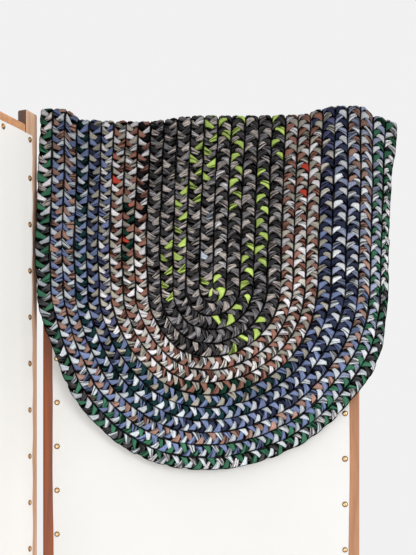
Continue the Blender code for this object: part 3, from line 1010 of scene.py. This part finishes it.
heart_material, graph, shader = make_material("shaded_jersey", 0.95)
depth = graph.noise(object_place(graph), DEPTH_SCALE, 3.0)
# Painted shade: the sheet is near-black for the hidden cloth that lies in shade
graph.feed(shader, "Base Color", graph.mix(depth, linear(16, 16, 18), linear(48, 46, 48)))
add_bump(graph, shader, depth, 0.001)
heart = link_object("rug_heart", heart_mesh, heart_material)
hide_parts("rug")
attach(heart, "root")

# %% [markdown]
# ## Canvas
# Artist's canvas is pulled over the frame and tacked every three inches. It is nearly flat: the cloth lifts
# a little between the tacks, its cut edge wanders, slack waves run down the panel, and one soft fold lies
# near its right edge. A grid of points moved by those few rules shows it better than a simulation of a
# stretched sheet would. The side panel's cloth is given a slightly lighter tone as painted light, because in
# the photograph it is as bright as the other although less light falls on it.

# %% Places of the tacks
TACK_PITCH = 0.0762
TACK_INSET = 0.0085
# The left and the right column of tacks on each panel: second tack below the rail's top, and the spacing on
TACK_COLUMNS = {
    "mid": ((0.0899, 0.0754), (0.0987, 0.0775)),
    "side": ((0.0900, TACK_PITCH), (0.0892, 0.0783)),
}
CANVAS_INSET = 0.0163
CANVAS_WIDTH = PANEL_WIDTH - 2 * CANVAS_INSET
CANVAS_BOTTOM = canvas_low.z
CANVAS_HEIGHT = canvas_high.z - canvas_low.z
CANVAS_BACK = PANEL_MIDDLE.y - canvas_high.y
# Along the ends the tacks start at the right corner, and the last gap is what is left
FULL_GAPS = 6
ROW_OF_TACKS = [TACK_INSET]
ROW_OF_TACKS += [CANVAS_WIDTH - TACK_INSET - gap * TACK_PITCH for gap in range(FULL_GAPS, -1, -1)]


def column_heights(second, spacing):
    """Heights of one column of tacks above the canvas's bottom edge, from the bottom up."""
    heights = [CANVAS_HEIGHT - TACK_INSET]
    height = RAIL_TOP - second - CANVAS_BOTTOM
    while height > TACK_INSET + spacing / 2:
        heights.append(height)
        height -= spacing
    return [TACK_INSET] + heights[::-1]


print(f"canvas: {CANVAS_WIDTH:.4f} x {CANVAS_HEIGHT:.4f} m, {len(ROW_OF_TACKS)} tacks along each end")

# %% Points of the panels
outer_low, outer_high = (Vector(corner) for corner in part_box("side_post_outer"))
side_along = Vector((math.cos(PANEL_TURN), math.sin(PANEL_TURN), 0.0))
side_facing = Vector((math.sin(PANEL_TURN), -math.cos(PANEL_TURN), 0.0))
# The outer post's box holds the turned post tightly, so the panel's start is found from its middle
side_start = (outer_low + outer_high) / 2 - side_along * POST_WIDTH / 2
side_start.z = 0.0


def panel_point(prefix, across, out, height):
    """A point of the mid or side panel, measured along it from its left edge, out from its middle and up."""
    if prefix == "mid":
        return Vector((left_low.x + across, PANEL_MIDDLE.y - out, height))
    return side_start + side_along * across + side_facing * out + Vector((0.0, 0.0, height))


print("side panel starts at", side_start)

# %% Relief of the canvas
EDGE_LIFT = 0.0011
EDGE_LIFT_REACH = 0.030
SLACK = 0.0006
SLACK_START = 0.06
# The slack is an upright wave that wanders as it goes up, and a weaker slanted one. The waves are given in
# radians for each metre across the canvas or up it.
UPRIGHT_WAVE = 17.0
UPRIGHT_WANDER = 1.3
WANDER_WAVE = 2.1
SLANTED_WAVE = (5.0, 4.3)
SLANTED_SHARE = 0.6
SOFT_FOLD = 0.0012
SOFT_FOLD_PLACE = 0.034
SOFT_FOLD_SWAY = 0.004
SOFT_FOLD_WAVE = 5.0
SOFT_FOLD_WIDTH = 0.009
SOFT_FOLD_END = 0.15
CUT_IN = 0.0014
CUT_REACH = 0.03
CUT_WANDER = 0.6
LONG_CUT_WAVE = 9.0
SHORT_CUT_IN = 0.0009
SHORT_CUT_WAVE = 23.0


def between_tacks(place, tacks):
    """0 at a tack, 1 halfway between two."""
    nearest = min(abs(place - tack) for tack in tacks)
    return 0.5 - 0.5 * math.cos(math.pi * min(nearest / (TACK_PITCH / 2), 1.0))


def canvas_relief(across, height, columns, seed):
    """How far the canvas stands off the frame."""
    from_side = min(across, CANVAS_WIDTH - across)
    from_end = min(height, CANVAS_HEIGHT - height)
    column = columns[across > CANVAS_WIDTH / 2]
    side_lift = EDGE_LIFT * math.exp(-from_side / EDGE_LIFT_REACH) * between_tacks(height, column)
    end_lift = EDGE_LIFT * math.exp(-from_end / EDGE_LIFT_REACH) * between_tacks(across, ROW_OF_TACKS)
    inner = min(min(from_side, from_end) / SLACK_START, 1.0)
    wandering = UPRIGHT_WANDER * math.sin(height * WANDER_WAVE + seed)
    upright = math.sin(across * UPRIGHT_WAVE + seed + wandering)
    slanted = math.sin(height * SLANTED_WAVE[1] + across * SLANTED_WAVE[0] + 2.0 * seed)
    slack = SLACK * inner * (upright + SLANTED_SHARE * slanted)
    fold_line = CANVAS_WIDTH - across - SOFT_FOLD_PLACE - SOFT_FOLD_SWAY * math.sin(height * SOFT_FOLD_WAVE)
    fold = SOFT_FOLD * math.exp(-(fold_line / SOFT_FOLD_WIDTH) ** 2)
    return side_lift + end_lift + slack + fold * min(from_end / SOFT_FOLD_END, 1.0)


def cut_edge(across, height, seed):
    """How far a point moves sideways because the cloth's edge was cut by hand."""
    to_side = 1.0 - min(min(across, CANVAS_WIDTH - across) / CUT_REACH, 1.0)
    long_wave = CUT_IN * math.sin(height * LONG_CUT_WAVE + seed)
    short_wave = SHORT_CUT_IN * math.sin(height * SHORT_CUT_WAVE + 2.0 * seed)
    inwards = 1.0 if across < CANVAS_WIDTH / 2 else -1.0
    return inwards * to_side * (CUT_IN + CUT_WANDER * (long_wave + short_wave))


# %% Canvas sheet
CANVAS_STEP = 0.0127
CANVAS_THIN = 0.0007


def canvas_sheet(name, prefix, seed, material):
    """A thin closed sheet with a finely divided front and back."""
    tack_columns = [column_heights(*column) for column in TACK_COLUMNS[prefix]]
    columns = round(CANVAS_WIDTH / CANVAS_STEP)
    rows = round(CANVAS_HEIGHT / CANVAS_STEP)
    layer_size = (rows + 1) * (columns + 1)
    points = []
    faces = []

    def index(layer, row, column):
        return layer * layer_size + row * (columns + 1) + column

    for layer in range(2):
        for row in range(rows + 1):
            for column in range(columns + 1):
                across = CANVAS_WIDTH * column / columns
                height = CANVAS_HEIGHT * row / rows
                relief = max(canvas_relief(across, height, tack_columns, seed), 0.0)
                out = CANVAS_BACK + relief + (CANVAS_THIN if layer == 0 else 0.0)
                moved = across + cut_edge(across, height, seed)
                points.append(panel_point(prefix, CANVAS_INSET + moved, out, CANVAS_BOTTOM + height))
        for row in range(rows):
            for column in range(columns):
                face = (index(layer, row, column), index(layer, row, column + 1),
                        index(layer, row + 1, column + 1), index(layer, row + 1, column))
                faces.append(face if layer == 0 else tuple(reversed(face)))
    rim = [(0, column) for column in range(columns)] + [(row, columns) for row in range(rows)]
    rim += [(rows, column) for column in range(columns, 0, -1)] + [(row, 0) for row in range(rows, 0, -1)]
    for (row, column), (next_row, next_column) in zip(rim, rim[1:] + rim[:1]):
        faces.append((index(0, next_row, next_column), index(0, row, column),
                      index(1, row, column), index(1, next_row, next_column)))
    mesh = bpy.data.meshes.new(name)
    mesh.from_pydata(points, [], faces)
    mesh.shade_smooth()
    mesh.set_sharp_from_angle(angle=math.radians(40.0))
    uv = mesh.uv_layers.new(name="flat")
    for loop in mesh.loops:
        row, column = divmod(loop.vertex_index % layer_size, columns + 1)
        uv.data[loop.index].uv = (CANVAS_WIDTH * column / columns, CANVAS_HEIGHT * row / rows)
    print(f"{name}: {len(faces)} faces")
    return link_object(name, mesh, material)


# %% Canvas material
THREADS_PER_METRE = 1400.0
SLUB_SCALE = 420.0
CLOUD_SCALE = 4.5
THREAD_GAP = linear(206, 200, 188)


def make_canvas(name, bright, dull):
    """Plain woven canvas, cloudy between two tones, with its threads along the sheet's own two directions."""
    material, graph, shader = make_material(name, 0.86, Sheen_Weight=0.1)
    cloth_place = graph.add("ShaderNodeUVMap", {"uv_map": "flat"})
    split_node = graph.add("ShaderNodeSeparateXYZ", None, {"Vector": cloth_place}).socket.node
    warp = (graph.wire(split_node, 0) * (2.0 * math.pi * THREADS_PER_METRE / 2)).sin()
    weft = (graph.wire(split_node, 1) * (2.0 * math.pi * THREADS_PER_METRE / 2)).sin()
    slubs = graph.noise(cloth_place, SLUB_SCALE, 3.0)
    weave = (warp * weft * 0.5 + 0.5) * 0.6 + slubs * 0.4
    cloud = graph.noise(cloth_place, CLOUD_SCALE, 3.0)
    tone = graph.mix(cloud.smooth(*NOISE_RANGE), bright, dull)
    tone = graph.mix(weave.smooth(0.1, 0.9, 0.10, 0.0), tone, THREAD_GAP)
    graph.feed(shader, "Base Color", tone)
    add_bump(graph, shader, weave, 0.0002)
    return material


# %% The two canvases
canvases = {
    "mid": make_canvas("tacked_canvas", linear(234, 234, 233), linear(232, 231, 229)),
    # Painted light: the side canvas is given lighter tones than the middle one
    "side": make_canvas("side_canvas_painted_light", linear(248, 246, 243), linear(245, 243, 239)),
}
for prefix, seed in (("mid", 0.7), ("side", 2.1)):
    piece = canvas_sheet(prefix + "_cloth", prefix, seed, canvases[prefix])
    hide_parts(prefix + "_canvas")
    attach(piece, "root")

# %% [markdown]
# ## Tacks
# Brass tacks with domed heads hold the canvas, one every 76 mm along its edges. One head is turned from a
# short profile, and a tree sets a copy on each point of a line of places, each not quite the same size,
# because hammered heads never are. Each vertex of the head keeps how near it is to the crown, and the brass
# is painted darker towards the rim, as painted shade, and left pale on the crown, as a painted highlight.

# %% One tack
TACK_RADIUS = 0.0050
TACK_HEIGHT = 0.0024
TACK_SEGMENTS = 12
TACK_SIZES = (0.94, 1.05)


def tack_mesh():
    """A domed head with a short pin behind it, facing -Y."""
    profile = [(0.0, -TACK_HEIGHT), (0.55, -0.88 * TACK_HEIGHT), (0.88, -0.45 * TACK_HEIGHT), (1.0, 0.0),
               (0.86, 0.0004), (0.2, 0.0002), (0.2, 0.004), (0.0, 0.006)]
    shape = bmesh.new()
    points = [shape.verts.new((share * TACK_RADIUS, place, 0.0)) for share, place in profile]
    edges = [shape.edges.new(pair) for pair in zip(points, points[1:])]
    bmesh.ops.spin(shape, geom=points + edges, axis=(0.0, 1.0, 0.0), cent=(0.0, 0.0, 0.0),
                   steps=TACK_SEGMENTS, angle=2.0 * math.pi)
    bmesh.ops.remove_doubles(shape, verts=shape.verts, dist=0.00001)
    bmesh.ops.recalc_face_normals(shape, faces=shape.faces)
    mesh = bpy.data.meshes.new("tack")
    shape.to_mesh(mesh)
    shape.free()
    mesh.shade_smooth()
    to_crown = [1.0 - math.hypot(vertex.co.x, vertex.co.z) / TACK_RADIUS for vertex in mesh.vertices]
    keep(mesh, "crown", "FLOAT", to_crown)
    return mesh


tack = link_object("tack_pattern", tack_mesh())
print(f"one tack: {len(tack.data.polygons)} faces")


# %% Tree that sets the tacks
tack_tree, tacking, given, tack_inputs = start_tree("tacks", (
    ("Geometry", "NodeSocketGeometry", None),
    ("Tack", "NodeSocketObject", None),
    ("Turn", "NodeSocketFloat", 0.0),
    ("Seed", "NodeSocketInt", 3),
    ("Material", "NodeSocketMaterial", None),
))
places = tacking.add("GeometryNodeMeshToPoints", {"mode": "VERTICES"}, {"Mesh": given["Geometry"]})
head = tacking.add("GeometryNodeObjectInfo", None, {"Object": given["Tack"]}, "Geometry")
size = tacking.add("FunctionNodeRandomValue", {"data_type": "FLOAT"},
                   {"Min": TACK_SIZES[0], "Max": TACK_SIZES[1], "Seed": given["Seed"]}, "Value")
turned = tacking.add("ShaderNodeCombineXYZ", None, {"Z": given["Turn"]})
turned = tacking.add("FunctionNodeEulerToRotation", None, {"Euler": turned})
copies = tacking.add("GeometryNodeInstanceOnPoints", None,
                     {"Points": places, "Instance": head, "Rotation": turned, "Scale": size})
end_tree(tacking, copies, given["Material"])

# %% Brass
STAIN_SCALE = 900.0
PALE_BRASS = linear(238, 208, 164)
DULL_BRASS = linear(204, 166, 116)
SHADED_RIM_BRASS = linear(138, 88, 40)
# Where the rim's painted shade ends and the crown's painted highlight starts, from 0 at the rim to 1
CROWN_RANGE = (0.10, 0.62)

brass_material, graph, shader = make_material("brass_painted_highlight_and_shade", 0.32, 1.0)
stain = graph.noise(object_place(graph), STAIN_SCALE, 3.0)
stain_and_crown_highlight = graph.mix(stain.smooth(0.35, 0.7), PALE_BRASS, DULL_BRASS)
to_crown = graph.kept("crown").smooth(*CROWN_RANGE)
# Painted shade towards the rim and painted highlight on the crown
graph.feed(shader, "Base Color", graph.mix(to_crown, SHADED_RIM_BRASS, stain_and_crown_highlight))
graph.feed(shader, "Roughness", stain.smooth(0.2, 0.8, 0.20, 0.38))

# %% Tacks along the canvas
end_heights = (TACK_INSET, CANVAS_HEIGHT - TACK_INSET)
end_spots = [(across, height) for height in end_heights for across in ROW_OF_TACKS[1:-1]]
for prefix, turn, seed in (("mid", 0.0, 3), ("side", PANEL_TURN, 8)):
    spots = []
    for across, column in zip((TACK_INSET, CANVAS_WIDTH - TACK_INSET), TACK_COLUMNS[prefix]):
        spots += [(across, height) for height in column_heights(*column)]
    spots += end_spots
    points = [panel_point(prefix, CANVAS_INSET + across, CANVAS_BACK + CANVAS_THIN, CANVAS_BOTTOM + height)
              for across, height in spots]
    mesh = bpy.data.meshes.new(prefix + "_tack_places")
    mesh.from_pydata(points, [], [])
    piece = grow(prefix + "_tacks", mesh, tack_tree, tack_inputs,
                 {"Tack": tack, "Turn": turn, "Seed": seed, "Material": brass_material})
    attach(piece, "root")
    print(f"{piece.name}: {len(spots)} tacks, {len(piece.data.polygons)} faces")
bpy.data.objects.remove(tack)

# %% [markdown]
# ## Wood
# The frames are oiled softwood: long streaks along each board, with fine pores and softer patches. The grain
# is a noise stretched along the board, so the posts read the height and the rails read the length of their
# panel. The boards are one wood in lighter and darker tones, as painted light and shade, and the left post
# of the middle panel is painted darker and redder still, as painted shade. The side panel's posts get
# painted shade on the faces that look along their panel, which a board's own normal tells apart.

# %% Wood materials
GRAIN_STRETCH = 0.045
STREAK_SCALE = 95.0
BAND_SCALE = 26.0
PORE_SCALE = 520.0
GRAIN_RANGE = (0.36, 0.64)
# Where pores show, how strongly, and how dark they are beside the dark grain
PORE_RANGE = (0.60, 0.74)
PORE_STRENGTH = 0.35
PORE_TONE = 0.45
# How strong the painted shade on those faces is, and how squarely a face looks along the panel to have it
FACE_SHADE_STRENGTH = 0.92
EDGE_RANGE = (0.6, 0.9)


def make_wood(name, light, dark, turn=0.0, upright=True, edge=None):
    """Oiled wood, its grain along the board. edge: painted shade for faces that look along the panel."""
    material, graph, shader = make_material(name, 0.5, Coat_Weight=0.15, Coat_Roughness=0.3)
    scale = (1.0, 1.0, GRAIN_STRETCH) if upright else (GRAIN_STRETCH, 1.0, 1.0)
    place = object_place(graph, scale, -turn)
    streaks = graph.noise(place, STREAK_SCALE, 4.0, 0.6)
    bands = graph.noise(place, BAND_SCALE, 2.0, 0.5)
    pores = graph.noise(place, PORE_SCALE, 2.0, 0.6)
    tone = streaks * 0.55 + bands * 0.45
    colour = graph.mix(tone.smooth(*GRAIN_RANGE), dark, light)
    pore_colour = tuple(PORE_TONE * part for part in dark)
    colour = graph.mix(pores.smooth(*PORE_RANGE, 0.0, PORE_STRENGTH), colour, pore_colour)
    # Painted shade on the faces that look along the panel
    if edge:
        normal = graph.add("ShaderNodeTexCoord", None, None, "Normal")
        along = (math.cos(turn), math.sin(turn), 0.0)
        facing = graph.add("ShaderNodeVectorMath", {"operation": "DOT_PRODUCT"},
                           {0: normal, 1: along}, "Value")
        painted_shade_colour = graph.mix(FACE_SHADE_STRENGTH, colour, edge)
        colour = graph.mix(facing.absolute().smooth(*EDGE_RANGE), colour, painted_shade_colour)
    graph.feed(shader, "Base Color", colour)
    graph.feed(shader, "Roughness", streaks.smooth(*NOISE_RANGE, 0.42, 0.58))
    add_bump(graph, shader, pores * 0.4 + streaks * 0.6, 0.0003)
    return material


# %% Wood and brass on the nodes
# One wood in lighter and darker tones as painted light and shade; the red pair is painted shade
LIGHT_WOOD = (linear(194, 143, 108), linear(158, 106, 73))
PALE_WOOD = (linear(226, 186, 157), linear(196, 152, 120))
WARM_WOOD = (linear(222, 164, 118), linear(190, 130, 86))
SHADED_RED_WOOD = (linear(158, 81, 30), linear(114, 50, 16))
SHADED_FACE_TONE = linear(66, 34, 18)
woods = {
    "mid_post_left": make_wood("shaded_red_wood_post", *SHADED_RED_WOOD),
    "mid_post_right": make_wood("wood_post", *LIGHT_WOOD),
    "mid_rail_top": make_wood("wood_rail", *LIGHT_WOOD, upright=False),
    "side_post_outer": make_wood("wood_side_post", *PALE_WOOD, turn=PANEL_TURN, edge=SHADED_FACE_TONE),
    "side_rail_top": make_wood("wood_side_rail", *WARM_WOOD, turn=PANEL_TURN, upright=False),
}
woods["mid_rail_bottom"] = woods["mid_rail_top"]
woods["side_post_inner"] = woods["side_post_outer"]
woods["side_rail_bottom"] = woods["side_rail_top"]
finishes = woods | {hinge: brass_material for hinge in ("hinge_top", "hinge_middle", "hinge_bottom")}
for node, material in finishes.items():
    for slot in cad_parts[node].material_slots:
        slot.material = material
print(f"{len(woods)} boards and {len(finishes) - len(woods)} hinges have their finish")

# %% [markdown]
# ## Floor and light
# A pale floor and a bright room. A large soft light from the right shapes the plait, and a weaker one from
# low on the left opens its shadows. Colours are shown as they are, without a film curve.

# %% Floor and room
FLOOR_REACH = 4.0
ROOM_TONE = 0.90
ROOM_STRENGTH = 0.98

floor_corners = [(across * FLOOR_REACH, along * FLOOR_REACH, 0.0)
                 for across, along in ((-1, -1), (1, -1), (1, 1), (-1, 1))]
floor_mesh = bpy.data.meshes.new("floor")
floor_mesh.from_pydata(floor_corners, [], [(0, 1, 2, 3)])
floor_material, graph, shader = make_material("pale_floor", 0.7)
dust = graph.noise(object_place(graph), 3.0, 4.0)
graph.feed(shader, "Base Color", graph.mix(dust, linear(226, 224, 220), linear(234, 232, 229)))
floor = link_object("floor", floor_mesh, floor_material)

world = bpy.data.worlds.new("bright_room")
world.use_nodes = True
world.node_tree.nodes["Background"].inputs["Color"].default_value = (ROOM_TONE, ROOM_TONE, ROOM_TONE, 1.0)
world.node_tree.nodes["Background"].inputs["Strength"].default_value = ROOM_STRENGTH
bpy.context.scene.world = world
bpy.context.scene.view_settings.view_transform = "Standard"

# %% Lights
RUG_FRONT = (PANEL_MIDDLE.x, PANEL_MIDDLE.y, 1.4)
LIGHT_SIZE = 1.2
KEY_PLACE = (2.2, -2.0, 1.6)
KEY_POWER = 26.0
FILL_PLACE = (-0.8, -2.0, 0.7)
FILL_POWER = 9.0


def add_light(name, place, power):
    """A square soft light aimed at the front of the rug."""
    data = bpy.data.lights.new(name, "AREA")
    data.size = LIGHT_SIZE
    data.energy = power
    light = bpy.data.objects.new(name, data)
    light.location = place
    light.rotation_euler = (Vector(RUG_FRONT) - Vector(place)).to_track_quat("-Z", "Y").to_euler()
    bpy.context.scene.collection.objects.link(light)


add_light("key_light", KEY_PLACE, KEY_POWER)
add_light("fill_light", FILL_PLACE, FILL_POWER)
